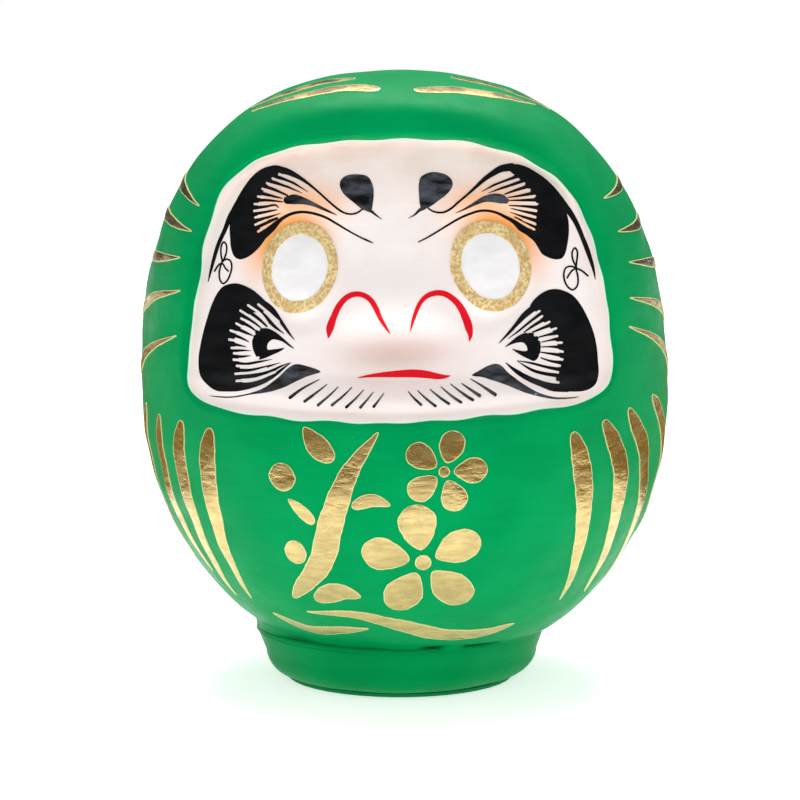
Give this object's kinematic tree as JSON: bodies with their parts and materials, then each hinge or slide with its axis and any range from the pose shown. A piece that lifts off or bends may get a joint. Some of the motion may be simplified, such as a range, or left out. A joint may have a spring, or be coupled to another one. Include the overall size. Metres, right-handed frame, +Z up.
{
  "type": "daruma doll",
  "caption": "Round papier-mache daruma doll with a hooded face set in a recess, gold foil brush strokes and a clay-weighted foot that rights it.",
  "frame": {"origin": "on the ground under the middle of the doll", "axes": "+Z up through the crown, the face looks along -Y, +X is to the right of someone who faces the doll"},
  "size_m": [0.1307, 0.1245, 0.15],
  "materials": {
    "green_paint": "satin",
    "foot_paint": "satin",
    "gold_foil": "polished",
    "washi": "matte",
    "clay": "matte"
  },
  "bodies": {
    "root": {"front_shell": "green_paint", "back_shell": "green_paint", "seam_strip": "washi", "foot_cup": "foot_paint", "clay_weight": "clay", "base_paper": "washi", "belly_stripe_left_1": "gold_foil", "belly_stripe_left_2": "gold_foil", "belly_stripe_left_3": "gold_foil", "belly_stripe_left_4": "gold_foil", "hood_tick_left_1": "gold_foil", "hood_tick_left_2": "gold_foil", "hood_tick_left_3": "gold_foil", "hood_tick_left_4": "gold_foil", "hood_tick_left_5": "gold_foil", "crown_stroke_left_1": "gold_foil", "crown_stroke_left_2": "gold_foil", "belly_stripe_right_1": "gold_foil", "belly_stripe_right_2": "gold_foil", "belly_stripe_right_3": "gold_foil", "belly_stripe_right_4": "gold_foil", "hood_tick_right_1": "gold_foil", "hood_tick_right_2": "gold_foil", "hood_tick_right_3": "gold_foil", "hood_tick_right_4": "gold_foil", "hood_tick_right_5": "gold_foil", "crown_stroke_right_1": "gold_foil", "crown_stroke_right_2": "gold_foil", "flourish_1": "gold_foil", "flourish_2": "gold_foil", "sprig_branch": "gold_foil", "sprig_twig_left": "gold_foil", "sprig_twig_right": "gold_foil", "sprig_leaf_low": "gold_foil", "sprig_leaf_high": "gold_foil", "sprig_bud_1": "gold_foil", "sprig_bud_2": "gold_foil", "flower_large_petal_1": "gold_foil", "flower_large_petal_2": "gold_foil", "flower_large_petal_3": "gold_foil", "flower_large_petal_4": "gold_foil", "flower_large_petal_5": "gold_foil", "flower_large_centre": "gold_foil", "flower_small_petal_1": "gold_foil", "flower_small_petal_2": "gold_foil", "flower_small_petal_3": "gold_foil", "flower_small_petal_4": "gold_foil", "flower_small_petal_5": "gold_foil", "flower_small_centre": "gold_foil"}
  },
  "joints": []
}
